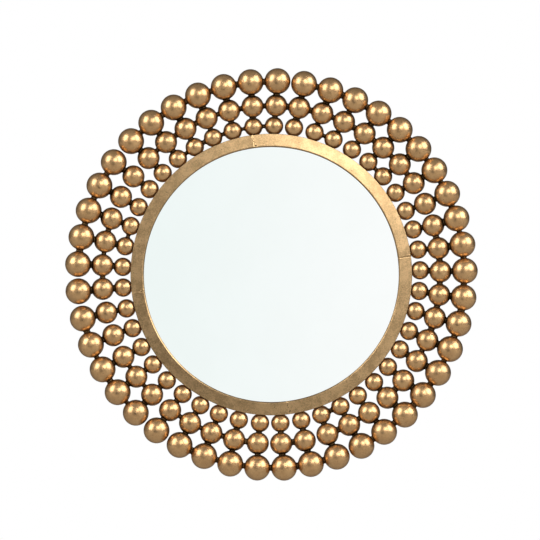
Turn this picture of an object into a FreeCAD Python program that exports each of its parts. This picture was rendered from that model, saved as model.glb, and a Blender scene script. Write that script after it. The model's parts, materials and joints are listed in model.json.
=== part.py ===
"""Round wall mirror in a frame of welded metal balls.

Three rings of balls, small, middle and large, stand round a plain face ring
that slopes back a little towards the balls.
The small balls touch a rolled hoop, and each ball outside them touches the
one before it, so the balls form spokes.  The frame was put together on its
back on a flat bench: every ball and the hoop touch the wall plane.  The
mirror glass lies behind the face ring on a soft gasket, a backing board
lies behind the glass, and angle brackets hold the board in the hoop.  Two
D-rings on the board hang the mirror.

Millimetres.  X is to the right as the mirror is looked at, Z is up, and the
mirror looks along -Y.  The origin is on the mirror's axis, in the wall plane.
"""
import FreeCAD, Part
import math
import os
from collections import namedtuple

V = FreeCAD.Vector

# ---------------------------------------------------------------- sizes, mm
# Balls
large_ball_d = 44.45
middle_ball_d = 38.1
small_ball_d = 31.75
least_ball_gap = 1.2        # mean gap that setting by hand needs in a ring
hand_play = 0.15            # share of a ring's gap by which a ball is off its mark

# Hoop and face ring
hoop_outer_d = 473.0
hoop_wall = 3.0
face_ring_width = 22.6
face_ring_t = 4.5           # at its thickest, beside the inner bevel
face_slope_deg = 8.0        # the face falls back towards the balls
face_ring_arcs = 4
first_seam_deg = 7.5
inner_bevel_width = 2.2     # bevel towards the glass, seen from the front
inner_bevel_depth = 2.0
outer_arris = 0.4
ring_to_ball_gap = 0.6      # the ring's outer edge to the small balls

# Glass, gasket and board
glass_t = 4.0
glass_edge_gap = 2.0        # round the glass and the board, inside the hoop
glass_arris = 0.6
gasket_t = 1.0
gasket_width = 8.0
board_t = 9.0

# Brackets that hold the board
bracket_count = 6
bracket_t = 2.0
bracket_width = 16.0
bracket_foot = 20.0
bracket_leg = 10.0
bracket_to_wall = 1.0       # the leg stops short of the wall plane
bracket_to_hoop = 0.05      # corners of the flat leg to the round hoop
bracket_corner_r = 3.0

# Screws
screw_shank_d = 3.0
screw_head_d = 5.6
screw_head_t = 2.0
screw_dome = 0.9            # height of the rounded part of the head
screw_bite = 6.0            # length of a screw in the board
screw_hole_gap = 0.05       # round a shank, in the piece it is driven into
screw_pass_gap = 0.2        # round a shank, in the piece it holds
cross_length = 3.2
cross_width = 0.8
cross_depth = 1.0

# D-rings and their straps
hanger_deg = 35.0           # up from the mirror's level middle line
hanger_inset = 48.4         # from the board's edge to the D-rings' axis
wire_d = 3.2
ring_inside_w = 20.0
ring_leg = 5.0              # straight sides of the D, from its axis
ring_corner_r = 3.0         # to the middle of the wire
ring_end_gap = 0.6          # the two ends of the wire, inside the eye
eye_gap = 0.08              # running clearance round the wire
eye_end_deg = -70.0         # where the curl of the eye stops
strap_t = 1.2
strap_width = 16.0
strap_length = 50.0
upper_screw_drop = 25.0     # below the D-ring's axis
lower_screw_drop = 41.0

# A ring of balls: drift is the slow wander of hand setting round the ring,
# largest at drift_at, and start is where the first ball lies.
BallRing = namedtuple("BallRing", "node ball_d start_deg drift_deg drift_at_deg")
ball_rings = [
    BallRing("inner_balls", small_ball_d, 1.3, 0.40, 320.0),
    BallRing("middle_balls", middle_ball_d, 0.9, 0.48, 280.0),
    BallRing("outer_balls", large_ball_d, 1.0, 0.80, 273.0),
]

# ------------------------------------------------------------ sizes derived
hoop_outer_r = hoop_outer_d / 2
hoop_inner_r = hoop_outer_r - hoop_wall
rear_recess = bracket_leg + bracket_to_wall
hoop_depth = gasket_t + glass_t + board_t + rear_recess

# Depths, counted from the wall plane towards the viewer
ring_back = hoop_depth
ring_front = ring_back + face_ring_t
glass_front = ring_back - gasket_t
board_front = glass_front - glass_t
board_back = board_front - board_t

flat_of_face = face_ring_width - inner_bevel_width - outer_arris
face_edge = ring_front - flat_of_face * math.tan(math.radians(face_slope_deg))

small_ball_r = small_ball_d / 2
small_circle_r = hoop_outer_r + small_ball_r
ball_half_chord = math.sqrt(small_ball_r ** 2 - (ring_back - small_ball_r) ** 2)
ring_outer_r = small_circle_r - ball_half_chord - ring_to_ball_gap
sight_r = ring_outer_r - face_ring_width
glass_r = hoop_inner_r - glass_edge_gap

wire_r = wire_d / 2
eye_inner_r = wire_r + eye_gap
eye_outer_r = eye_inner_r + strap_t
eye_depth = board_back - eye_outer_r
hanger_r = glass_r - hanger_inset
hanger_x = hanger_r * math.cos(math.radians(hanger_deg))
hanger_z = hanger_r * math.sin(math.radians(hanger_deg))


# ------------------------------------------------------------------ helpers
def at(radius, degrees, depth):
    """Point at a radius and angle round the mirror's axis, off the wall."""
    angle = math.radians(degrees)
    return V(radius * math.cos(angle), -depth, radius * math.sin(angle))


def turned(points, sweep_deg=360.0, start_deg=0.0):
    """Solid of revolution about the mirror's axis from (radius, depth) points."""
    corners = [V(radius, -depth, 0) for radius, depth in points]
    section = Part.Face(Part.makePolygon(corners + corners[:1]))
    section.rotate(V(0, 0, 0), V(0, -1, 0), start_deg)
    return section.revolve(V(0, 0, 0), V(0, -1, 0), sweep_deg)


def along(shape, place, direction):
    """Shape drawn along +Z, turned to point along a direction, at a place."""
    copy = shape.copy()
    copy.Placement = FreeCAD.Placement(place, FreeCAD.Rotation(V(0, 0, 1), direction))
    return copy


def rounded_outline(width, low, high, bottom_r, depth_from, depth_to):
    """Upright plate in XZ with its two lower corners rounded, from depth to depth."""
    plate = Part.makeBox(width, depth_to - depth_from, high - low, V(-width / 2, -depth_to, low))
    corners = [edge for edge in plate.Edges
               if edge.BoundBox.ZMax < low + 0.01 and edge.BoundBox.YLength > 0.01
               and edge.BoundBox.XLength < 0.01]
    return plate.makeFillet(bottom_r, corners)


# -------------------------------------------------------------------- balls
def touching_step(ball_d, next_ball_d):
    """Distance in the wall plane between two touching balls that lie on it."""
    return math.sqrt(ball_d * next_ball_d)


def mean_circles():
    """Radius of the circle of centres of each ring, from the hoop outwards."""
    radii = [small_circle_r]
    for ring, next_ring in zip(ball_rings, ball_rings[1:]):
        radii.append(radii[-1] + touching_step(ring.ball_d, next_ring.ball_d))
    return radii


def spoke_count():
    """As many spokes as the tightest ring has room for."""
    fits = []
    for ring, circle_r in zip(ball_rings, mean_circles()):
        half_pitch = math.asin((ring.ball_d + least_ball_gap) / (2 * circle_r))
        fits.append(int(math.pi / half_pitch))
    return min(fits)


def ball_angle(ring, circle_r, index, count):
    """Angle of a ball: its even pitch, the ring's drift and its own play."""
    even = 360.0 * index / count
    drift = ring.drift_deg * math.cos(math.radians(even - ring.drift_at_deg))
    gap = 2 * circle_r * math.sin(math.pi / count) - ring.ball_d
    uneven = math.sin(1.9 * index * index + ring.ball_d)
    play = math.degrees(hand_play * gap / circle_r) * uneven
    return ring.start_deg + even + drift + play


def ball_centres():
    """Centres of every ring's balls.  Each ball touches the one nearer the hoop."""
    count = spoke_count()
    circles = mean_circles()
    centres = {ring.node: [] for ring in ball_rings}
    for index in range(count):
        inner = None
        for ring, circle_r in zip(ball_rings, circles):
            degrees = ball_angle(ring, circle_r, index, count)
            radius = small_circle_r
            if inner:
                inner_ring, inner_radius, inner_degrees = inner
                step = touching_step(inner_ring.ball_d, ring.ball_d)
                lean = math.radians(degrees - inner_degrees)
                aside = inner_radius * math.sin(lean)
                radius = inner_radius * math.cos(lean) + math.sqrt(step ** 2 - aside ** 2)
            centres[ring.node].append(at(radius, degrees, ring.ball_d / 2))
            inner = (ring, radius, degrees)
    return centres


def balls(ring, centres):
    """One ring of balls."""
    return Part.makeCompound([Part.makeSphere(ring.ball_d / 2, centre) for centre in centres])


# ------------------------------------------------------- face ring and hoop
def face_ring_arc(number):
    """One arc of the face ring, bevelled towards the glass, its face sloped."""
    sweep = 360.0 / face_ring_arcs
    points = [
        (sight_r, ring_back),
        (sight_r, ring_front - inner_bevel_depth),
        (sight_r + inner_bevel_width, ring_front),
        (ring_outer_r - outer_arris, face_edge),
        (ring_outer_r, face_edge - outer_arris),
        (ring_outer_r, ring_back),
    ]
    return turned(points, sweep, first_seam_deg + sweep * number)


def bracket_angles():
    """The brackets stand evenly round the hoop, one of them at the top."""
    return [90.0 + 360.0 * number / bracket_count for number in range(bracket_count)]


def leg_outer_x():
    """Flat leg's outer face, so that its corners just clear the round hoop."""
    reach = hoop_inner_r - bracket_to_hoop
    return math.sqrt(reach ** 2 - (bracket_width / 2) ** 2)


def hoop_screw_depth():
    """Height of the hoop screws off the wall: the middle of the free leg."""
    return (board_back - bracket_t + bracket_to_wall) / 2


def hoop():
    """Rolled flat bar on edge, with a hole for each bracket's screw."""
    ring = turned([(hoop_inner_r, 0), (hoop_outer_r, 0), (hoop_outer_r, hoop_depth),
                   (hoop_inner_r, hoop_depth)])
    hole = Part.makeCylinder(screw_shank_d / 2 + screw_hole_gap, 3 * hoop_wall)
    for degrees in bracket_angles():
        start = at(hoop_inner_r - hoop_wall, degrees, hoop_screw_depth())
        ring = ring.cut(along(hole, start, at(1, degrees, 0)))
    return ring


# --------------------------------------------------- glass, gasket and board
def gasket():
    """Soft strip between the face ring and the glass."""
    middle_r = (sight_r + glass_r) / 2
    inner_r = middle_r - gasket_width / 2
    outer_r = middle_r + gasket_width / 2
    return turned([(inner_r, glass_front), (outer_r, glass_front),
                   (outer_r, ring_back), (inner_r, ring_back)])


def glass():
    """Flat round mirror glass with its edges eased."""
    return turned([
        (0, board_front),
        (glass_r - glass_arris, board_front),
        (glass_r, board_front + glass_arris),
        (glass_r, glass_front - glass_arris),
        (glass_r - glass_arris, glass_front),
        (0, glass_front),
    ])


def foot_screw_x():
    """Middle of the part of the foot that lies on the board."""
    return leg_outer_x() - bracket_t - (bracket_foot - bracket_t) / 2


def backing_board():
    """Round board behind the glass, drilled for its brackets and the hangers."""
    board = turned([(0, board_back), (glass_r, board_back), (glass_r, board_front),
                    (0, board_front)])
    hole = Part.makeCylinder(screw_shank_d / 2 + screw_hole_gap, screw_bite + screw_hole_gap)
    places = [at(foot_screw_x(), degrees, board_back) for degrees in bracket_angles()]
    for side in (-1, 1):
        for drop in (upper_screw_drop, lower_screw_drop):
            places.append(V(side * hanger_x, -board_back, hanger_z - drop))
    for place in places:
        board = board.cut(along(hole, place, V(0, -1, 0)))
    return board


# ------------------------------------------------------- screws and brackets
def pan_screw(length):
    """Pan-head screw along -Z from the underside of its head, with a cross."""
    head_r = screw_head_d / 2
    straight = screw_head_t - screw_dome
    side = Part.makePolygon([V(0, 0, screw_head_t), V(0, 0, -length),
                             V(screw_shank_d / 2, 0, -length), V(screw_shank_d / 2, 0, 0),
                             V(head_r, 0, 0), V(head_r, 0, straight)])
    dome = Part.Arc(V(head_r, 0, straight),
                    V(0.75 * head_r, 0, straight + 0.66 * screw_dome),
                    V(0, 0, screw_head_t)).toShape()
    screw = Part.Face(Part.Wire(side.Edges + [dome])).revolve(V(0, 0, 0), V(0, 0, 1), 360)
    bottom = screw_head_t - cross_depth
    for size in ((cross_length, cross_width), (cross_width, cross_length)):
        corner = V(-size[0] / 2, -size[1] / 2, bottom)
        screw = screw.cut(Part.makeBox(size[0], size[1], screw_head_t, corner))
    return screw


def board_screws():
    """Screws that hold the brackets' feet to the board."""
    screw = pan_screw(bracket_t + screw_bite)
    seat = board_back - bracket_t
    return Part.makeCompound([along(screw, at(foot_screw_x(), degrees, seat), V(0, 1, 0))
                              for degrees in bracket_angles()])


def hoop_screws():
    """Screws that hold the brackets' legs to the hoop, flush with its outside."""
    seat_r = leg_outer_x() - bracket_t
    screw = pan_screw(hoop_outer_r - seat_r)
    return Part.makeCompound([along(screw, at(seat_r, degrees, hoop_screw_depth()),
                                    at(-1, degrees, 0))
                              for degrees in bracket_angles()])


def bracket():
    """Angle bracket at zero degrees: its foot on the board, its leg on the hoop."""
    outer_x = leg_outer_x()
    foot = Part.makeBox(bracket_foot, bracket_t, bracket_width,
                        V(outer_x - bracket_foot, -board_back, -bracket_width / 2))
    round_ends = [edge for edge in foot.Edges
                  if edge.BoundBox.YLength > 0.01 and edge.BoundBox.XLength < 0.01
                  and edge.BoundBox.ZLength < 0.01
                  and edge.BoundBox.XMax < outer_x - bracket_foot + 0.01]
    foot = foot.makeFillet(bracket_corner_r, round_ends)
    leg = Part.makeBox(bracket_t, bracket_leg, bracket_width,
                       V(outer_x - bracket_t, -board_back, -bracket_width / 2))
    pass_r = screw_shank_d / 2 + screw_pass_gap
    foot_hole = Part.makeCylinder(pass_r, 3 * bracket_t,
                                  at(foot_screw_x(), 0, board_back + bracket_t), V(0, 1, 0))
    leg_hole = Part.makeCylinder(pass_r, 3 * bracket_t,
                                 at(outer_x - 2 * bracket_t, 0, hoop_screw_depth()), V(1, 0, 0))
    return foot.fuse(leg).removeSplitter().cut(foot_hole).cut(leg_hole)


def brackets():
    """All brackets, turned round the mirror's axis."""
    made = []
    for degrees in bracket_angles():
        copy = bracket()
        copy.rotate(V(0, 0, 0), V(0, -1, 0), degrees)
        made.append(copy)
    return Part.makeCompound(made)


# ------------------------------------------------------------------ hangers
def eye_point(radius, degrees):
    """Point of the strap's curl, in the YZ plane through the D-ring's axis."""
    angle = math.radians(degrees)
    return V(0, radius * math.cos(angle) - eye_depth, hanger_z + radius * math.sin(angle))


def eye_arc(radius, start_deg, end_deg):
    """Arc of the strap's curl."""
    middle_deg = (start_deg + end_deg) / 2
    return Part.Arc(eye_point(radius, start_deg), eye_point(radius, middle_deg),
                    eye_point(radius, end_deg)).toShape()


def hanger_strap(x):
    """Strap on the board whose top end curls round the D-ring's wire."""
    low = hanger_z - strap_length
    front = [eye_point(eye_outer_r, 180), V(0, -board_back, low)]
    back = [V(0, -board_back + strap_t, low), eye_point(eye_inner_r, 180)]
    edges = [
        Part.makeLine(front[1], front[0]),
        eye_arc(eye_outer_r, 180, eye_end_deg),
        Part.makeLine(eye_point(eye_outer_r, eye_end_deg), eye_point(eye_inner_r, eye_end_deg)),
        eye_arc(eye_inner_r, eye_end_deg, 180),
        Part.makeLine(back[1], back[0]),
        Part.makeLine(back[0], front[1]),
    ]
    section = Part.Face(Part.Wire(edges))
    section.translate(V(-strap_width / 2, 0, 0))
    strap = section.extrude(V(strap_width, 0, 0))
    outline = rounded_outline(strap_width, low, hanger_z + 2 * eye_outer_r,
                              0.45 * strap_width, 0, board_back)
    strap = strap.common(outline)
    hole = Part.makeCylinder(screw_shank_d / 2 + screw_pass_gap, 3 * strap_t)
    for drop in (upper_screw_drop, lower_screw_drop):
        start = V(0, -board_back + 2 * strap_t, hanger_z - drop)
        strap = strap.cut(along(hole, start, V(0, -1, 0)))
    strap.translate(V(x, 0, 0))
    return strap


def hanger_screws(x):
    """The two screws of one strap."""
    screw = pan_screw(strap_t + screw_bite)
    return Part.makeCompound([
        along(screw, V(x, -board_back + strap_t, hanger_z - drop), V(0, 1, 0))
        for drop in (upper_screw_drop, lower_screw_drop)])


def d_ring(x):
    """Wire bent to a D that hangs from the strap's eye, its ends inside the eye."""
    half = ring_inside_w / 2 + wire_r
    turn = ring_corner_r
    near = turn * (1 - math.sqrt(0.5))

    def point(across, down):
        return V(x + across, -eye_depth, hanger_z - down)

    def side(sign):
        """Half of the D's path, from the wire's end to the bottom."""
        run = [
            Part.makeLine(point(sign * ring_end_gap / 2, 0), point(sign * (half - turn), 0)),
            Part.Arc(point(sign * (half - turn), 0), point(sign * (half - near), near),
                     point(sign * half, turn)).toShape(),
            Part.makeLine(point(sign * half, turn), point(sign * half, ring_leg)),
        ]
        bow = half * math.sqrt(0.5)
        run.append(Part.Arc(point(sign * half, ring_leg), point(sign * bow, ring_leg + bow),
                            point(0, ring_leg + half)).toShape())
        return run

    path = Part.Wire(Part.__sortEdges__(side(1) + side(-1)))
    start = point(ring_end_gap / 2, 0)
    section = Part.Wire([Part.makeCircle(wire_r, start, V(1, 0, 0))])
    ring = path.makePipeShell([section], True, False)
    length = path.Length
    print("D-ring wire %.1f mm long, volume off by %.4f" %
          (length, ring.Volume / (math.pi * wire_r ** 2 * length) - 1))
    return ring


# --------------------------------------------------------------------- main
def build():
    """Every piece of the mirror under its name."""
    parts = {}
    centres = ball_centres()
    for ring in ball_rings:
        parts[ring.node] = balls(ring, centres[ring.node])
    for number in range(face_ring_arcs):
        parts["face_ring_arc_%d" % (number + 1)] = face_ring_arc(number)
    parts["hoop"] = hoop()
    parts["glass_gasket"] = gasket()
    parts["mirror_glass"] = glass()
    parts["backing_board"] = backing_board()
    parts["board_brackets"] = brackets()
    parts["board_screws"] = board_screws()
    parts["hoop_screws"] = hoop_screws()
    for side, x in (("left", -hanger_x), ("right", hanger_x)):
        parts["hanger_strap_" + side] = hanger_strap(x)
        parts["hanger_screws_" + side] = hanger_screws(x)
        parts["d_ring_" + side] = d_ring(x)
    return parts


os.makedirs("parts", exist_ok=True)
for name, shape in build().items():
    print("%-22s solids %3d  valid %s  volume %.1f" %
          (name, len(shape.Solids), shape.isValid(), shape.Volume))
    shape.exportStep("parts/%s.step" % name)
print("spokes", spoke_count(), " sight radius %.2f  ring radius %.2f  hoop depth %.2f" %
      (sight_r, ring_outer_r, hoop_depth))
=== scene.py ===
"""Looks of the round wall mirror in its frame of welded balls.

The balls, their welds, the face ring and its seams are finer meshes that stand
for the CAD nodes or lie on them.  The other nodes keep their shape and get a
finish.  Metres, in the frame of the CAD model: X to the right, Z up, and the
mirror looks along -Y with the wall plane at y = 0.
"""

from collections import namedtuple
import json
import math

import bpy
import numpy as np
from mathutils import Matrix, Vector

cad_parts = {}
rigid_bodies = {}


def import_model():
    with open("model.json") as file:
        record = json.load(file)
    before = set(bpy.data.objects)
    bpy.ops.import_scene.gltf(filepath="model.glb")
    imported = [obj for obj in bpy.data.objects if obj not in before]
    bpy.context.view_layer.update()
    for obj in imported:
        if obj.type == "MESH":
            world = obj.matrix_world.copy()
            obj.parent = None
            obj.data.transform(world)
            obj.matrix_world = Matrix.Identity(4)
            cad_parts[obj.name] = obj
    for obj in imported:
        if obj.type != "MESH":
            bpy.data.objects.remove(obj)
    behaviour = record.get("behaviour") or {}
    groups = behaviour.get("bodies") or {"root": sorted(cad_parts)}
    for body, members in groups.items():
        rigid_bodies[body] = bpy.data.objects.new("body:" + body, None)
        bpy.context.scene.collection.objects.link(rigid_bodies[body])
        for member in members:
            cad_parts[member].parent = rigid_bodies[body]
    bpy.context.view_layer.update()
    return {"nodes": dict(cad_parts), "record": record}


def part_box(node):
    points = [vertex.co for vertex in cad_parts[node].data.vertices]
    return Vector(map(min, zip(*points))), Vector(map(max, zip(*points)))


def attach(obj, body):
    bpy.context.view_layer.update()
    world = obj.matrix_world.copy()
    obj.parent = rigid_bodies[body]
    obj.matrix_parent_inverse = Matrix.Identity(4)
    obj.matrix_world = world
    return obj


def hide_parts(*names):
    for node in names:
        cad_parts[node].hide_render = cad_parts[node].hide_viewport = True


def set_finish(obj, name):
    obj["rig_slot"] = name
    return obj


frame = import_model()
mm = 0.001

# Balls
cage_cuts = 18                          # squares along each side of a ball's cage
dent_count = (4, 9)                     # at least, and fewer than
dent_width = (0.09, 0.24)               # radians
dent_depth = (0.04 * mm, 0.22 * mm)
out_of_round = 0.06 * mm
play_seed = 45

# Welds: the radius of the hollow fillet, from the thinnest to the thickest
spoke_weld = (0.8 * mm, 1.3 * mm)
side_weld = (0.8 * mm, 1.4 * mm)
hoop_weld = (0.5 * mm, 0.9 * mm)
waist_waves = ((2, 0.22), (3, 0.16), (5, 0.12))   # waves round a weld and their share
weld_sink = 0.12 * mm                   # by which a weld's ends lie in the balls

# Places between neighbours, in degrees round the mirror, as the photograph shows
# them: the gaps left open in two rings, and the few closed ones in the third.
open_gaps = {"outer_balls": [84, 141, 181, 189, 229, 237, 294],
             "middle_balls": [21, 29, 140, 149, 157, 189, 197, 205, 229, 269, 285, 310, 325]}
closed_gaps = {"inner_balls": [45, 69, 93, 101, 109, 117, 125, 165, 294]}
half_pitch = 4.0                        # degrees, half the way from ball to ball

# Face ring: each seam's place, its heave, and its bead's height, width and lean
Seam = namedtuple("Seam", "degrees heave height width lean")
seams = [Seam(7.5, -0.10 * mm, 0.08 * mm, 1.2 * mm, 1.0 * mm),
         Seam(97.5, 0.22 * mm, 0.70 * mm, 3.4 * mm, 8.5 * mm),
         Seam(187.5, 0.20 * mm, 0.22 * mm, 2.2 * mm, 2.0 * mm),
         Seam(277.5, 0.12 * mm, 0.42 * mm, 3.4 * mm, 3.0 * mm)]
arc_sweep = 90.0
arc_steps = 200
ring_wave = 0.035 * mm                  # unevenness of the face ring
heave_reach = 4.5 * mm                  # of the heave, each way from its seam
heave_skew = 0.25

# Studio and camera
floor_r = 7.0
floor_height = -1.0
floor_white_from = 4.5                  # where the floor begins to run out into white
stand_distance = 2.6
softbox_distance = 7.0
camera_distance = 12.0
photo_size = 540                        # pixels
photo_middle = (271.33, 274.54)         # pixel on which the mirror's middle lies
pixel = 1.6993 * mm                     # size on the mirror of one pixel


# ------------------------------------------------------------ meshes in general
def made_mesh(name, points, faces, body, attributes=None):
    """Smooth mesh object that rides on a body, with its point attributes."""
    mesh = bpy.data.meshes.new(name)
    mesh.from_pydata([tuple(p) for p in points], [], [tuple(f) for f in faces])
    mesh.polygons.foreach_set("use_smooth", [True] * len(mesh.polygons))
    for key, values in (attributes or {}).items():
        attribute = mesh.attributes.new(key, "FLOAT", "POINT")
        attribute.data.foreach_set("value", np.asarray(values, dtype=np.float32))
    mesh.update()
    piece = bpy.data.objects.new(name, mesh)
    bpy.context.scene.collection.objects.link(piece)
    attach(piece, body)
    return piece


def joined(parts):
    """One list of points, faces and attributes from several."""
    points, faces, attributes, count = [], [], {}, 0
    for part_points, part_faces, part_attributes in parts:
        points.append(part_points)
        faces.extend([[index + count for index in face] for face in part_faces])
        for key, values in part_attributes.items():
            attributes.setdefault(key, []).append(values)
        count += len(part_points)
    return np.concatenate(points), faces, {k: np.concatenate(v) for k, v in attributes.items()}


def node_points(node):
    """Corner points of a CAD node, one row each."""
    mesh = frame["nodes"][node].data
    points = np.empty(len(mesh.vertices) * 3)
    mesh.vertices.foreach_get("co", points)
    return points.reshape(-1, 3)


def ripple(rng, longest, shortest, count=14):
    """Gentle unevenness over a plane: a few waves, each with its own direction."""
    lengths = longest * (shortest / longest) ** rng.random(count)
    turns = rng.random(count) * 2 * math.pi
    shifts = rng.random(count) * 2 * math.pi

    def height(x, z):
        total = 0.0
        for length, turn, shift in zip(lengths, turns, shifts):
            run = x * math.cos(turn) + z * math.sin(turn)
            total = total + length / longest * np.sin(2 * math.pi * run / length + shift)
        return total / math.sqrt(count / 2)

    return height


# ------------------------------------------------------------------------ balls
def find_balls(node):
    """Centres and common radius of a node's balls, which all lie on the wall plane."""
    cap_depth, least_break = 1.9, math.radians(2.5)
    points = node_points(node)
    radius = np.ptp(points[:, 1]) / 2
    caps = points[points[:, 1] < -cap_depth * radius]
    angles = np.sort(np.arctan2(caps[:, 2], caps[:, 0]))
    breaks = np.flatnonzero(np.diff(angles) > least_break) + 1
    groups = np.split(angles, breaks)
    if angles[0] + 2 * math.pi - angles[-1] < least_break:
        groups[0] = np.concatenate([groups.pop() - 2 * math.pi, groups[0]])
    ring_r = np.hypot(caps[:, 0], caps[:, 2]).mean()
    middles = np.array([(g.min() + g.max()) / 2 for g in groups])
    guess = np.c_[ring_r * np.cos(middles), ring_r * np.sin(middles)]
    apart = np.hypot(points[:, None, 0] - guess[None, :, 0], points[:, None, 2] - guess[None, :, 1])
    nearest = apart.argmin(axis=1)
    centres = []
    for index in range(len(guess)):
        own = points[nearest == index]
        table = np.c_[2 * own, np.ones(len(own))]
        centre = np.linalg.lstsq(table, (own ** 2).sum(axis=1), rcond=None)[0][:3]
        centres.append(centre)
    return np.array(centres), radius


def round_cage(cuts):
    """Directions and four-sided faces of an evenly divided unit ball."""
    line = np.tan(np.linspace(-1, 1, cuts + 1) * math.pi / 4)
    across, up = np.meshgrid(line, line, indexing="ij")
    ones = np.ones_like(across)
    sides = []
    for sign in (-1, 1):
        sides.append(np.stack([sign * ones, sign * across, up], axis=-1))
        sides.append(np.stack([up, sign * ones, sign * across], axis=-1))
        sides.append(np.stack([sign * across, up, sign * ones], axis=-1))
    stacked = np.concatenate([side.reshape(-1, 3) for side in sides])
    stacked /= np.linalg.norm(stacked, axis=1)[:, None]
    _, first, same = np.unique(np.round(stacked, 6), axis=0, return_index=True, return_inverse=True)
    same = same.reshape(-1)
    faces = []
    row = cuts + 1
    for side in range(6):
        for i in range(cuts):
            for j in range(cuts):
                corner = side * row * row + i * row + j
                loop = [same[corner], same[corner + row], same[corner + row + 1], same[corner + 1]]
                faces.append(loop)
    directions = stacked[first]
    checked = []
    for loop in faces:
        a, b, c = directions[loop[0]], directions[loop[1]], directions[loop[2]]
        outward = np.dot(np.cross(b - a, c - a), a) > 0
        checked.append(loop if outward else loop[::-1])
    return directions, checked


def random_turn(rng):
    """Random rotation matrix."""
    matrix, _ = np.linalg.qr(rng.normal(size=(3, 3)))
    return matrix if np.linalg.det(matrix) > 0 else -matrix


def neighbour_shade_mask(points, normals, own_centre, own_radius, hoop_r):
    """How far neighbouring balls and the hoop close a point in, from 0 to 1: the mask for painted
    shade where balls meet and next to the hoop.
    """
    same_place, reach, touching = 0.001 * mm, 75 * mm, 0.3 * mm
    at_weld, apart_share, wrap = 1.25, 0.7, 0.15
    hoop_share, hoop_reach = 0.8, 8 * mm
    total = np.zeros(len(points))
    for centre, radius in all_balls:
        gap = np.linalg.norm(centre - own_centre)
        if gap < same_place or gap > reach:
            continue
        away = centre - points
        distance = np.linalg.norm(away, axis=1)
        facing = np.clip((away * normals).sum(axis=1) / distance + wrap, 0, 1)
        share = at_weld if gap < radius + own_radius + touching else apart_share
        total += share * facing * (radius / np.maximum(distance, radius)) ** 2
    outward = points[:, [0, 2]] / np.hypot(points[:, 0], points[:, 2])[:, None]
    to_hoop = np.clip(np.hypot(points[:, 0], points[:, 2]) - hoop_r, 0, None)
    facing = np.clip(-(outward * normals[:, [0, 2]]).sum(axis=1), 0, 1)
    return np.clip(total + hoop_share * facing * np.exp(-to_hoop / hoop_reach), 0, 1)


def dented_ball(centre, radius, rng, hoop_r):
    """One ball: slightly out of round, with a few shallow dents."""
    directions = cage_directions @ random_turn(rng).T
    dip = np.zeros(len(directions))
    for _ in range(rng.integers(*dent_count)):
        spot = rng.normal(size=3)
        spot /= np.linalg.norm(spot)
        width = rng.uniform(*dent_width)
        depth = rng.uniform(*dent_depth)
        apart = np.arccos(np.clip(directions @ spot, -1, 1))
        dip += depth * np.exp(-(apart / width) ** 2)
    stretch = random_turn(rng)
    dip += out_of_round * (1 - (directions @ stretch[0]) ** 2)
    points = centre + directions * (radius - dip)[:, None]
    # painted shade: darker where neighbouring balls and the hoop close the surface in
    shelter = neighbour_shade_mask(points, directions, centre, radius, hoop_r)
    tone = np.full(len(points), rng.random())
    return points, cage_faces, {"shelter": shelter, "tone": tone}


# ------------------------------------------------------------------------ welds
def collar(start, start_r, end, end_r, fillet, rng, slices=22, steps=7):
    """Weld between two balls that all but touch: a hollow fillet with an uneven waist."""
    axis = end - start
    length = np.linalg.norm(axis)
    axis = axis / length
    side = np.cross(axis, [0.0, 1.0, 0.0])
    side /= np.linalg.norm(side)
    up = np.cross(axis, side)
    shifts = rng.random(len(waist_waves)) * 2 * math.pi
    least = max(0.0, length - start_r - end_r) / 2
    points = []
    for number in range(slices):
        turn = 2 * math.pi * number / slices
        uneven = sum(share * math.sin(waves * turn + shift)
                     for (waves, share), shift in zip(waist_waves, shifts))
        r = least + fillet * (1 + uneven)
        run = ((start_r + r) ** 2 - (end_r + r) ** 2 + length ** 2) / (2 * length)
        out = math.sqrt((start_r + r) ** 2 - run ** 2)
        to_start = math.atan2(-out, -run)
        to_end = math.atan2(-out, length - run)
        outward = side * math.cos(turn) + up * math.sin(turn)
        for step in range(steps):
            share = step / (steps - 1)
            angle = to_start + (to_end - to_start) * share
            sink = weld_sink * (2 * share - 1) ** 4
            along = run + (r + sink) * math.cos(angle)
            off = out + (r + sink) * math.sin(angle)
            points.append(start + axis * along + outward * off)
    faces = []
    for number in range(slices):
        following = (number + 1) % slices
        for step in range(steps - 1):
            faces.append([number * steps + step, number * steps + step + 1,
                          following * steps + step + 1, following * steps + step])
    points = np.array(points)
    # the welds get full painted shade, dark as the crevice between the balls they join
    full_painted_shade, middle_tone = np.full(len(points), 1.1), np.full(len(points), 0.5)
    return points, faces, {"shelter": full_painted_shade, "tone": middle_tone}


# -------------------------------------------------------------- turned sections
def section_of(node):
    """Corners of a turned node's section as (radius, depth), going round it."""
    same_corner = 0.1 * mm
    points = node_points(node)
    pairs = np.c_[np.hypot(points[:, 0], points[:, 2]), -points[:, 1]]
    corners = []
    for pair in pairs:
        if all(np.hypot(*(pair - corner)) > same_corner for corner in corners):
            corners.append(pair)
    corners = np.array(corners)
    middle = (corners.min(axis=0) + corners.max(axis=0)) / 2
    turn = np.arctan2(corners[:, 1] - middle[1], corners[:, 0] - middle[0])
    return corners[np.argsort(turn)]


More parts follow.
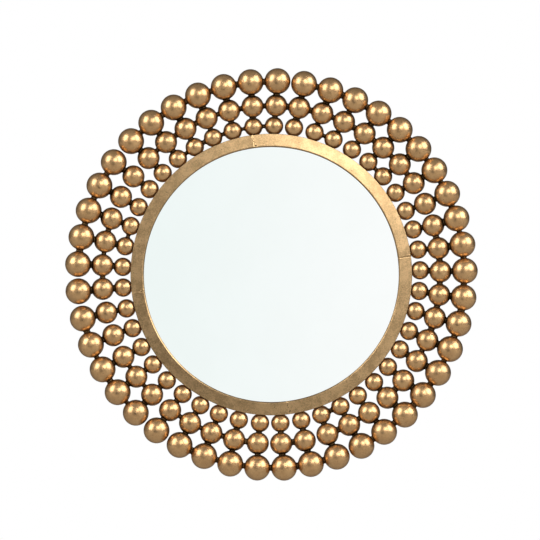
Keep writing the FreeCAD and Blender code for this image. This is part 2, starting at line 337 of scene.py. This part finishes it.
def eased(corners, size, longest):
    """Section with its corners rounded and its long sides divided."""
    share_of_side, next_to_corner = 0.3, 0.35 * mm
    outline = []
    count = len(corners)
    for index in range(count):
        before, corner, after = corners[index - 1], corners[index], corners[(index + 1) % count]
        into, out_of = corner - before, after - corner
        cut = min(size, share_of_side * np.hypot(*into), share_of_side * np.hypot(*out_of))
        first = corner - into / np.hypot(*into) * cut
        last = corner + out_of / np.hypot(*out_of) * cut
        outline.append(first)
        outline.append(0.25 * first + 0.5 * corner + 0.25 * last)
        outline.append(last)
        next_cut = min(size, share_of_side * np.hypot(*out_of))
        following = after - out_of / np.hypot(*out_of) * next_cut
        reach = np.hypot(*(following - last))
        parts = max(1, int(math.ceil(reach / longest)))
        if parts > 1:
            edge = min(next_to_corner, reach / 4)
            outline.append(last + (following - last) / reach * edge)
            for part in range(1, parts):
                outline.append(last + (following - last) * part / parts)
            outline.append(following - (following - last) / reach * edge)
    return np.array(outline)


def swept(outline, start_deg, end_deg, steps, rise):
    """Section swept round the mirror's axis, its points raised along their normals."""
    before = np.roll(outline, 1, axis=0)
    after = np.roll(outline, -1, axis=0)
    run = after - before
    normal = np.c_[run[:, 1], -run[:, 0]] / np.hypot(run[:, 0], run[:, 1])[:, None]
    if (normal * (outline - outline.mean(axis=0))).sum() < 0:
        normal = -normal
    points = []
    for step in range(steps + 1):
        angle = math.radians(start_deg + (end_deg - start_deg) * step / steps)
        lift = rise(outline, angle, normal)
        radius = outline[:, 0] + normal[:, 0] * lift
        depth = outline[:, 1] + normal[:, 1] * lift
        points.append(np.c_[radius * math.cos(angle), -depth, radius * math.sin(angle)])
    count = len(outline)
    faces = []
    for step in range(steps):
        for index in range(count):
            following = (index + 1) % count
            faces.append([step * count + index, step * count + following,
                          (step + 1) * count + following, (step + 1) * count + index])
    faces.append(list(range(count))[::-1])
    faces.append([steps * count + index for index in range(count)])
    return np.concatenate(points), faces


# ---------------------------------------------------------- the balls as pieces
hoop_low, hoop_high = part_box("hoop")
hoop_r = (hoop_high.x - hoop_low.x) / 2
ball_sets = {}
all_balls = []
for node in ("inner_balls", "middle_balls", "outer_balls"):
    centres, radius = find_balls(node)
    order = np.argsort(np.arctan2(centres[:, 2], centres[:, 0]) % (2 * math.pi))
    ball_sets[node] = (centres[order], radius)
    all_balls.extend([(centre, radius) for centre in centres])

cage_directions, cage_faces = round_cage(cage_cuts)
rng = np.random.default_rng(play_seed)
piece_names = {"inner_balls": "small_balls_leafed", "middle_balls": "middle_balls_leafed",
               "outer_balls": "large_balls_leafed"}
for node, (centres, radius) in ball_sets.items():
    parts = [dented_ball(centre, radius, rng, hoop_r) for centre in centres]
    points, faces, attributes = joined(parts)
    piece = made_mesh(piece_names[node], points, faces, "frame", attributes)
    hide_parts(node)
    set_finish(piece, "antique_gold_balls")

# Welds between balls that touch, from ring to ring
weld_parts = []
for near, far in (("inner_balls", "middle_balls"), ("middle_balls", "outer_balls")):
    near_centres, near_r = ball_sets[near]
    far_centres, far_r = ball_sets[far]
    for centre in near_centres:
        apart = np.linalg.norm(far_centres - centre, axis=1)
        other = far_centres[apart.argmin()]
        weld_parts.append(collar(centre, near_r, other, far_r, rng.uniform(*spoke_weld), rng))


def near_any(angle, places):
    """Whether an angle lies at one of some places round the mirror, all in degrees."""
    return any(abs(math.remainder(angle - place, 360.0)) < half_pitch for place in places)


# Welds between neighbours in a ring
for node, (centres, radius) in ball_sets.items():
    for centre, other in zip(centres, np.roll(centres, -1, axis=0)):
        middle = centre + other
        angle = math.degrees(math.atan2(middle[2], middle[0]))
        if node in open_gaps:
            welded = not near_any(angle, open_gaps[node])
        else:
            welded = near_any(angle, closed_gaps[node])
        size = rng.uniform(*side_weld)
        if welded:
            weld_parts.append(collar(centre, radius, other, radius, size, rng))
points, faces, attributes = joined(weld_parts)
ball_welds = made_mesh("ball_welds", points, faces, "frame", attributes)
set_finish(ball_welds, "antique_gold_balls")

# Welds between the small balls and the hoop, drawn as if the hoop were a very large ball
small_centres, small_r = ball_sets["inner_balls"]
large_r = 4.0
hoop_parts = []
for centre in small_centres:
    outward = np.array([centre[0], 0.0, centre[2]])
    outward /= np.linalg.norm(outward)
    far_off = outward * (hoop_r - large_r) + np.array([0.0, centre[1], 0.0])
    hoop_parts.append(collar(centre, small_r, far_off, large_r, rng.uniform(*hoop_weld), rng))
points, faces, attributes = joined(hoop_parts)
hoop_welds = made_mesh("hoop_welds", points, faces, "frame", attributes)
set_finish(hoop_welds, "antique_gold_flat")

# -------------------------------------------------------------------- face ring
ring_corners = section_of("face_ring_arc_1")
ring_front = ring_corners[:, 1].max()
ring_back = ring_corners[:, 1].min()
sight_r = ring_corners[:, 0].min()
ring_outer_r = ring_corners[:, 0].max()
bevel_r = ring_corners[ring_corners[:, 1].argmax(), 0]
edge_corners = ring_corners[ring_corners[:, 0] > ring_outer_r - 1 * mm]
face_edge_r, face_edge = edge_corners[edge_corners[:, 1].argmax()]
face_slope = (ring_front - face_edge) / (face_edge_r - bevel_r)
ring_outline = eased(ring_corners, 0.25 * mm, 1.6 * mm)
wave = ripple(rng, 60 * mm, 14 * mm)


def ring_rise(outline, angle, normal):
    """Unevenness of the ring's face, and the heave beside each weld."""
    x, z = outline[:, 0] * math.cos(angle), outline[:, 0] * math.sin(angle)
    lift = ring_wave * wave(x, z)
    for seam in seams:
        off = math.remainder(angle - math.radians(seam.degrees), 2 * math.pi) * outline[:, 0]
        skew = off - heave_skew * (outline[:, 0] - bevel_r)
        lift = lift + seam.heave * np.exp(-(skew / heave_reach) ** 2)
    on_face = np.clip((normal[:, 1] - 0.5) / 0.4, 0, 1)
    return lift * on_face


def painted_edge_shade(points):
    """Painted shade on the ring's two edges, and on its face beside each small ball."""
    ball_share, ball_reach, glass_share, tolerance = 0.8, 1.6 * mm, 0.95, 0.05 * mm
    radius = np.hypot(points[:, 0], points[:, 2])
    to_ball = np.linalg.norm(points[:, None, :] - small_centres[None, :, :], axis=2).min(axis=1)
    beside = ball_share * np.exp(-((to_ball - small_r) / ball_reach) ** 2)
    on_edge = np.where(radius > face_edge_r - tolerance, 1.0, 0.0)
    at_glass = glass_share * np.clip((bevel_r - radius) / (bevel_r - sight_r), 0, 1)
    return np.maximum(np.maximum(beside, on_edge), at_glass)


for number, seam in enumerate(seams, start=1):
    points, faces = swept(ring_outline, seam.degrees, seam.degrees + arc_sweep, arc_steps,
                          ring_rise)
    arc = made_mesh("face_ring_leafed_%d" % number, points, faces, "frame",
                    {"shelter": painted_edge_shade(points)})
    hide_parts("face_ring_arc_%d" % number)
    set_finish(arc, "antique_gold_flat")


def seam_bead(seam, rng):
    """Uneven weld bead across the face ring, ground down but still to be seen."""
    rows, columns = 46, 11
    first_r, last_r = sight_r + 0.6 * mm, face_edge_r - 0.3 * mm
    bead_wander, edge_sink, full_shade_height = 1.1 * mm, 0.06 * mm, 0.5 * mm
    bevel_fall = (ring_front - ring_back) / (3 * (bevel_r - sight_r))
    wander = ripple(rng, 20 * mm, 3 * mm, 8)
    lumps = ripple(rng, 6 * mm, 1.6 * mm, 10)
    points = []
    shelter = []
    for row in range(rows):
        share = row / (rows - 1)
        radius = first_r + (last_r - first_r) * share
        if radius < bevel_r:
            base = ring_front - (bevel_r - radius) * bevel_fall
        else:
            base = ring_front - (radius - bevel_r) * face_slope
        aside = seam.lean * (share - 0.5) + bead_wander * wander(radius, 0.0)
        half = seam.width / 2 * (1 + 0.35 * lumps(radius, 13 * mm))
        for column in range(columns):
            t = 2 * column / (columns - 1) - 1
            off = aside + t * half
            lump = lumps(radius, off)
            crest = seam.height * (0.75 + 0.5 * lump)
            lift = crest * (1 - t * t) ** 1.3 - edge_sink + seam.heave
            angle = math.radians(seam.degrees) + off / radius
            points.append([radius * math.cos(angle), -(base + lift), radius * math.sin(angle)])
            # painted shade in the bead's hollows
            hollow = max(0.0, -1.3 * lump)
            shelter.append(min(1.0, hollow * seam.height / full_shade_height))
    faces = []
    for row in range(rows - 1):
        for column in range(columns - 1):
            corner = row * columns + column
            faces.append([corner, corner + 1, corner + columns + 1, corner + columns])
    return np.array(points), faces, {"shelter": np.array(shelter)}


points, faces, attributes = joined([seam_bead(seam, rng) for seam in seams])
ring_seams = made_mesh("ring_seams", points, faces, "frame", attributes)
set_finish(ring_seams, "antique_gold_flat")


# -------------------------------------------------------------------- materials
class Graph:
    """Short ways of adding nodes to a material or a world."""

    def __init__(self, owner):
        owner.use_nodes = True
        self.tree = owner.node_tree
        self.tree.nodes.clear()

    def add(self, kind, inputs=None, **settings):
        """Node of a kind, its settings, and its inputs from sockets or numbers."""
        node = self.tree.nodes.new(kind)
        for key, value in settings.items():
            setattr(node, key, value)
        for key, value in (inputs or {}).items():
            self.feed(node.inputs[key], value)
        return node

    def feed(self, socket, value):
        """Joins a socket to another, or sets its number."""
        if isinstance(value, bpy.types.NodeSocket):
            self.tree.links.new(value, socket)
        elif isinstance(value, tuple) and len(value) == 3 and socket.type == "RGBA":
            socket.default_value = value + (1.0,)
        else:
            socket.default_value = value

    def calc(self, operation, *values):
        """Arithmetic on numbers."""
        node = self.add("ShaderNodeMath", operation=operation)
        for socket, value in zip(node.inputs, values):
            self.feed(socket, value)
        return node.outputs[0]

    def ramp(self, value, low, high, to_low=0.0, to_high=1.0, smooth=True):
        """Value carried from one range to another, held at its ends."""
        node = self.add("ShaderNodeMapRange", clamp=True,
                        interpolation_type="SMOOTHSTEP" if smooth else "LINEAR")
        for socket, number in zip(node.inputs, (value, low, high, to_low, to_high)):
            self.feed(socket, number)
        return node.outputs[0]

    def blend(self, share, first, second):
        """Mixture of two colours."""
        node = self.add("ShaderNodeMix", data_type="RGBA", clamp_factor=True)
        self.feed(node.inputs[0], share)
        self.feed(node.inputs[6], first)
        self.feed(node.inputs[7], second)
        return node.outputs[2]

    def noise(self, where, scale, detail=3.0, roughness=0.55):
        """Cloudy pattern, its grains about one over the scale in size."""
        node = self.add("ShaderNodeTexNoise", {"Vector": where, "Scale": scale, "Detail": detail,
                                               "Roughness": roughness})
        return node.outputs["Fac"]

    def spots(self, where, scale, size, share):
        """Sparse round spots: one in some cells, of a size given in cells."""
        node = self.add("ShaderNodeTexVoronoi", {"Vector": where, "Scale": scale,
                                                 "Randomness": 1.0}, feature="F1")
        near = self.ramp(node.outputs["Distance"], size, 0.0)
        split = self.add("ShaderNodeSeparateColor", {0: node.outputs["Color"]})
        chosen = self.calc("GREATER_THAN", split.outputs[0], 1.0 - share)
        return self.calc("MULTIPLY", near, chosen)

    def bump(self, height, distance, under=None):
        """Fine relief of a height given in metres."""
        inputs = {"Height": height, "Distance": distance, "Strength": 1.0}
        if under is not None:
            inputs["Normal"] = under
        return self.add("ShaderNodeBump", inputs).outputs[0]

    def surface(self, **inputs):
        """Principled shader, wired to the output."""
        named = {key.replace("_", " "): value for key, value in inputs.items()}
        shader = self.add("ShaderNodeBsdfPrincipled", named)
        self.add("ShaderNodeOutputMaterial", {"Surface": shader.outputs[0]})


def place(graph):
    """Position on the object, in metres."""
    return graph.add("ShaderNodeTexCoord").outputs["Object"]


def point_value(graph, name):
    """A mesh attribute as a number."""
    return graph.add("ShaderNodeAttribute", attribute_name=name).outputs["Fac"]


# colour of the painted shade between balls, on the welds, along the ring's edges and in the seams'
# hollows
painted_shade_colour = (0.050, 0.030, 0.014)


def antique_gold_balls():
    """Satin gold leaf on balls: mottled and dinged, with painted shade where they meet."""
    material = bpy.data.materials.new("antique_gold_balls")
    g = Graph(material)
    where = place(g)
    clouds = g.noise(where, 60.0, 3.0)
    mottle = g.noise(where, 260.0, 4.0, 0.6)
    grain = g.noise(where, 1300.0, 2.0)
    pits = g.spots(where, 150.0, 0.13, 0.45)
    dings = g.spots(where, 62.0, 0.16, 0.45)
    tone = point_value(g, "tone")
    shelter = point_value(g, "shelter")
    mix = g.calc("ADD", g.calc("MULTIPLY", clouds, 0.55), g.calc("MULTIPLY", mottle, 0.45))
    warm = g.blend(g.ramp(mix, 0.34, 0.66), (0.60, 0.34, 0.130), (0.76, 0.46, 0.190))
    shade = g.blend(g.ramp(tone, 0.0, 1.0, 0.0, 0.30, smooth=False), warm, (0.60, 0.36, 0.15))
    worn = g.blend(g.ramp(grain, 0.62, 0.80, 0.0, 0.5), shade, (0.84, 0.66, 0.36))
    uneven = g.calc("MULTIPLY", g.calc("SUBTRACT", mottle, 0.5), 0.5)
    # painted shade where neighbours close the ball in; it also roughens the leaf and thins the coat
    painted_shade = g.ramp(g.calc("ADD", shelter, uneven), 0.32, 0.98, 0.0, 0.95)
    with_painted_shade = g.blend(painted_shade, worn, painted_shade_colour)
    colour = g.blend(g.calc("MULTIPLY", pits, 0.7), with_painted_shade, (0.07, 0.04, 0.018))
    gloss = g.ramp(mottle, 0.3, 0.7, 0.27, 0.37)
    rough = g.calc("ADD", gloss, g.calc("MULTIPLY", painted_shade, 0.15))
    relief = g.bump(mottle, 0.15 * mm)
    relief = g.bump(grain, 0.015 * mm, under=relief)
    relief = g.bump(g.calc("MULTIPLY", pits, -1.0), 0.22 * mm, under=relief)
    relief = g.bump(g.calc("MULTIPLY", dings, -1.0), 0.45 * mm, under=relief)
    coat = g.calc("SUBTRACT", 0.9, g.calc("MULTIPLY", painted_shade, 0.9))
    g.surface(Base_Color=colour, Metallic=1.0, Roughness=rough, Normal=relief,
              Specular_Tint=(0.15, 0.12, 0.095), Coat_Weight=coat, Coat_Roughness=0.36, Coat_IOR=1.65)
    return material


def antique_gold_flat():
    """The same leaf on the face ring, its seams and the hoop."""
    material = bpy.data.materials.new("antique_gold_flat")
    g = Graph(material)
    where = place(g)
    clouds = g.noise(where, 38.0, 4.0)
    mottle = g.noise(where, 420.0, 4.0, 0.65)
    grain = g.noise(where, 1700.0, 2.0)
    pits = g.spots(where, 160.0, 0.21, 0.55)
    mix = g.calc("ADD", g.calc("MULTIPLY", clouds, 0.5), g.calc("MULTIPLY", mottle, 0.5))
    warm = g.blend(g.ramp(mix, 0.40, 0.60), (0.50, 0.32, 0.145), (0.77, 0.51, 0.250))
    worn = g.blend(g.ramp(grain, 0.60, 0.80, 0.0, 0.5), warm, (0.86, 0.68, 0.42))
    # painted shade on the ring's edges, beside the small balls, in the seams' hollows and on the hoop
    # welds; it also thins the coat
    painted_shade = g.ramp(point_value(g, "shelter"), 0.0, 1.0, 0.0, 0.85)
    with_painted_shade = g.blend(painted_shade, worn, painted_shade_colour)
    colour = g.blend(g.calc("MULTIPLY", pits, 0.85), with_painted_shade, (0.10, 0.06, 0.03))
    rough = g.ramp(mottle, 0.3, 0.7, 0.28, 0.38)
    coat = g.calc("SUBTRACT", 0.5, g.calc("MULTIPLY", painted_shade, 0.5))
    relief = g.bump(mottle, 0.13 * mm)
    relief = g.bump(grain, 0.02 * mm, under=relief)
    relief = g.bump(g.calc("MULTIPLY", pits, -1.0), 0.15 * mm, under=relief)
    g.surface(Base_Color=colour, Metallic=1.0, Roughness=rough, Normal=relief,
              Coat_Weight=coat, Coat_Roughness=0.36, Coat_IOR=1.5)
    return material


def silvered_glass():
    """Mirror glass: faintly green silver with a trace of haze."""
    material = bpy.data.materials.new("silvered_glass")
    g = Graph(material)
    where = place(g)
    haze = g.noise(where, 9.0, 3.0)
    colour = g.blend(g.ramp(haze, 0.35, 0.65), (0.955, 0.975, 0.968), (0.965, 0.985, 0.980))
    rough = g.ramp(haze, 0.35, 0.7, 0.008, 0.016)
    relief = g.bump(g.noise(where, 3.0, 1.0), 0.01 * mm)
    g.surface(Base_Color=colour, Metallic=1.0, Roughness=rough, Normal=relief)
    return material


def gasket_foam():
    """Closed-cell foam strip."""
    material = bpy.data.materials.new("gasket_foam")
    g = Graph(material)
    where = place(g)
    cells = g.add("ShaderNodeTexVoronoi", {"Vector": where, "Scale": 1800.0}).outputs["Distance"]
    colour = g.blend(g.ramp(cells, 0.1, 0.7), (0.018, 0.018, 0.018), (0.040, 0.040, 0.039))
    g.surface(Base_Color=colour, Roughness=0.9, Normal=g.bump(cells, 0.15 * mm))
    return material


def board_black():
    """Fibreboard painted black: fine fibres, a few rubs and dust."""
    material = bpy.data.materials.new("board_black")
    g = Graph(material)
    where = place(g)
    fibre = g.noise(where, 900.0, 5.0, 0.7)
    patches = g.noise(where, 14.0, 4.0)
    stretched = g.add("ShaderNodeMapping", {"Vector": where, "Scale": (40.0, 1.0, 900.0),
                                            "Rotation": (0.0, 0.5, 0.0)}).outputs[0]
    rubs = g.ramp(g.noise(stretched, 1.0, 2.0), 0.70, 0.78, 0.0, 0.35)
    colour = g.blend(g.ramp(fibre, 0.3, 0.7), (0.022, 0.020, 0.018), (0.050, 0.046, 0.042))
    dusty = g.blend(g.ramp(patches, 0.45, 0.75, 0.0, 0.35), colour, (0.095, 0.088, 0.078))
    rubbed = g.blend(rubs, dusty, (0.13, 0.115, 0.095))
    rough = g.ramp(patches, 0.3, 0.7, 0.55, 0.78)
    g.surface(Base_Color=rubbed, Roughness=rough, Normal=g.bump(fibre, 0.06 * mm))
    return material


def zinc_steel(name, light, dark, rough_low, rough_high):
    """Zinc-plated steel: cloudy crystals, fine rolling marks, a little tarnish."""
    material = bpy.data.materials.new(name)
    g = Graph(material)
    where = place(g)
    clouds = g.noise(where, 220.0, 3.0)
    crystal = g.add("ShaderNodeTexVoronoi", {"Vector": where, "Scale": 420.0}).outputs["Distance"]
    stretched = g.add("ShaderNodeMapping", {"Vector": where,
                                            "Scale": (3500.0, 60.0, 60.0)}).outputs[0]
    lines = g.noise(stretched, 1.0, 2.0)
    mix = g.calc("ADD", g.calc("MULTIPLY", clouds, 0.6), g.calc("MULTIPLY", crystal, 0.4))
    colour = g.blend(g.ramp(mix, 0.3, 0.7), dark, light)
    tarnish = g.blend(g.ramp(clouds, 0.60, 0.78, 0.0, 0.5), colour, (0.42, 0.36, 0.24))
    rough = g.ramp(lines, 0.3, 0.7, rough_low, rough_high)
    g.surface(Base_Color=tarnish, Metallic=1.0, Roughness=rough,
              Normal=g.bump(lines, 0.01 * mm))
    return material


finishes = {
    "antique_gold_balls": antique_gold_balls(),
    "antique_gold_flat": antique_gold_flat(),
    "silvered_glass": silvered_glass(),
    "gasket_foam": gasket_foam(),
    "board_black": board_black(),
    "zinc_steel": zinc_steel("zinc_steel", (0.66, 0.66, 0.63), (0.42, 0.42, 0.41), 0.28, 0.42),
    "ring_steel": zinc_steel("ring_steel", (0.74, 0.73, 0.70), (0.55, 0.54, 0.52), 0.16, 0.26),
}


def dress(piece, slot):
    """Gives a piece one finish in place of all it had."""
    piece.data.materials.clear()
    piece.data.materials.append(finishes[slot])


for row in frame["record"]["subparts"]:
    dress(frame["nodes"][row["node"]], row["material_slot"])
for piece in bpy.context.scene.objects:
    if "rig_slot" in piece:
        dress(piece, piece["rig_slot"])


# ------------------------------------------------------------------ floor, light
def floor():
    """Pale studio floor that runs out into the white background."""
    rings, spokes = 6, 64
    points = [(0.0, 0.0, floor_height)]
    for ring in range(1, rings + 1):
        radius = floor_r * ring / rings
        for spoke in range(spokes):
            angle = 2 * math.pi * spoke / spokes
            points.append((radius * math.cos(angle), radius * math.sin(angle), floor_height))
    faces = [[0, 1 + spoke, 1 + (spoke + 1) % spokes] for spoke in range(spokes)]
    for ring in range(rings - 1):
        for spoke in range(spokes):
            a, b = 1 + ring * spokes + spoke, 1 + ring * spokes + (spoke + 1) % spokes
            faces.append([a, a + spokes, b + spokes, b])
    mesh = bpy.data.meshes.new("studio_floor")
    mesh.from_pydata(points, [], faces)
    stage_floor = bpy.data.objects.new("studio_floor", mesh)
    bpy.context.scene.collection.objects.link(stage_floor)
    material = bpy.data.materials.new("studio_floor")
    g = Graph(material)
    where = place(g)
    split = g.add("ShaderNodeSeparateXYZ", {0: where})
    out = g.calc("SQRT", g.calc("ADD", g.calc("POWER", split.outputs[0], 2.0),
                                g.calc("POWER", split.outputs[1], 2.0)))
    tint = g.blend(g.noise(where, 2.0, 3.0), (0.50, 0.49, 0.475), (0.54, 0.53, 0.515))
    painted = g.add("ShaderNodeBsdfDiffuse", {"Color": tint})
    white = g.add("ShaderNodeEmission", {"Color": (1.0, 1.0, 1.0), "Strength": 1.0})
    path = g.add("ShaderNodeLightPath")
    seen = g.calc("MAXIMUM", path.outputs["Is Camera Ray"], path.outputs["Is Transmission Ray"])
    seen = g.calc("MAXIMUM", seen, path.outputs["Is Glossy Ray"])
    far = g.ramp(out, floor_white_from, floor_r)
    mixed = g.add("ShaderNodeMixShader", {0: g.calc("MULTIPLY", seen, far),
                                          1: painted.outputs[0], 2: white.outputs[0]})
    g.add("ShaderNodeOutputMaterial", {"Surface": mixed.outputs[0]})
    mesh.materials.append(material)


def studio_world():
    """White background, and a grey studio: lighter before the mirror, above and to the left.

    The mirror shows a pale card round the camera.  Straight behind it, metal and glass
    show the white background too.
    """
    darkest, lightest = 0.12, 0.23              # grey behind the mirror, and before it
    lean_up, lean_left = 0.35, 0.25
    card_end, card_full = 0.16, 0.06            # off the axis, as parts of a unit direction
    patch_end, patch_full = 0.06, 0.02
    shade_start, shade_end = -0.028, 0.030      # the card is duller on its left
    world = bpy.data.worlds.new("studio")
    bpy.context.scene.world = world
    g = Graph(world)
    direction = g.add("ShaderNodeTexCoord").outputs["Generated"]
    split = g.add("ShaderNodeSeparateXYZ", {0: direction})
    x, y, z = split.outputs[0], split.outputs[1], split.outputs[2]
    ahead = g.calc("MULTIPLY", y, -1.0)
    plain = g.ramp(ahead, -1.0, 0.05, darkest, lightest)
    lean = g.calc("SUBTRACT", g.calc("MULTIPLY", z, lean_up), g.calc("MULTIPLY", x, lean_left))
    graded = g.calc("MULTIPLY", plain, g.calc("ADD", 1.0, lean))
    grey = g.blend(graded, (0.0, 0.0, 0.0), (1.0, 0.97, 0.92))
    off_axis = g.calc("SQRT", g.calc("ADD", g.calc("POWER", x, 2.0), g.calc("POWER", z, 2.0)))
    near_camera = g.calc("MULTIPLY", g.ramp(off_axis, card_end, card_full),
                         g.calc("GREATER_THAN", ahead, 0.0))
    card = g.blend(g.ramp(x, shade_start, shade_end), (0.88, 0.94, 0.93), (1.0, 1.0, 1.0))
    studio = g.blend(near_camera, grey, card)
    behind = g.calc("MULTIPLY", g.ramp(off_axis, patch_end, patch_full),
                    g.calc("GREATER_THAN", y, 0.0))
    path = g.add("ShaderNodeLightPath")
    seen_in = g.calc("MAXIMUM", path.outputs["Is Glossy Ray"], path.outputs["Is Transmission Ray"])
    white = g.calc("MAXIMUM", path.outputs["Is Camera Ray"], g.calc("MULTIPLY", behind, seen_in))
    colour = g.blend(white, studio, (1.0, 1.0, 1.0))
    background = g.add("ShaderNodeBackground", {"Color": colour, "Strength": 1.0})
    g.add("ShaderNodeOutputWorld", {"Surface": background.outputs[0]})


def softbox(name, azimuth, elevation, half_wide, half_high, radiance):
    """Large lamp far off in a direction, its half sizes given in degrees."""
    lamp = bpy.data.lights.new(name, "AREA")
    lamp.shape = "RECTANGLE"
    lamp.size = 2 * softbox_distance * math.tan(math.radians(half_wide))
    lamp.size_y = 2 * softbox_distance * math.tan(math.radians(half_high))
    lamp.energy = radiance * math.pi * lamp.size * lamp.size_y
    lamp_object = bpy.data.objects.new(name, lamp)
    a, e = math.radians(azimuth), math.radians(elevation)
    towards = Vector((math.sin(a) * math.cos(e), -math.cos(a) * math.cos(e), math.sin(e)))
    lamp_object.location = towards * softbox_distance
    lamp_object.rotation_mode = "QUATERNION"
    lamp_object.rotation_quaternion = towards.to_track_quat("Z", "Y")
    lamp_object.visible_camera = False
    bpy.context.scene.collection.objects.link(lamp_object)


def camera_stand():
    """Dark stand and operator low before the mirror, seen in reflections alone."""
    outline = [(-1.40, floor_height), (-1.25, -0.50), (-0.80, -0.26), (-0.34, -0.24),
               (0.10, -0.42), (0.50, -0.66), (0.62, floor_height)]
    points = [(x, -stand_distance, z) for x, z in outline]
    mesh = bpy.data.meshes.new("camera_stand")
    mesh.from_pydata(points, [], [list(range(len(points)))])
    stand = bpy.data.objects.new("camera_stand", mesh)
    bpy.context.scene.collection.objects.link(stand)
    material = bpy.data.materials.new("camera_stand")
    g = Graph(material)
    cloth = g.blend(g.noise(place(g), 60.0), (0.03, 0.03, 0.03), (0.06, 0.06, 0.06))
    g.surface(Base_Color=cloth, Roughness=0.9)
    mesh.materials.append(material)
    stand.visible_camera = False
    stand.visible_diffuse = False
    stand.visible_shadow = False


floor()
studio_world()
camera_stand()
softbox("softbox_left", -55.0, 27.0, 15.0, 21.0, 4.0)
softbox("softbox_right", 63.0, 28.0, 19.0, 21.0, 4.0)
softbox("softbox_key", 16.0, 23.0, 13.0, 12.0, 4.2)

# ----------------------------------------------------------------------- camera
# The camera's place, and not a shift of its lens, puts the mirror's middle on its pixel.
right = photo_middle[0] - photo_size / 2
down = photo_middle[1] - photo_size / 2
camera_data = bpy.data.cameras.new("camera")
camera_data.sensor_width = 36.0
camera_data.lens = camera_data.sensor_width * camera_distance / (photo_size * pixel)
camera_data.clip_start = 0.1
camera_data.clip_end = 100.0
camera = bpy.data.objects.new("camera", camera_data)
camera.location = (-right * pixel, -camera_distance, down * pixel)
camera.rotation_euler = (math.pi / 2, 0.0, 0.0)
bpy.context.scene.collection.objects.link(camera)
bpy.context.scene.camera = camera
bpy.context.scene.view_settings.view_transform = "Standard"
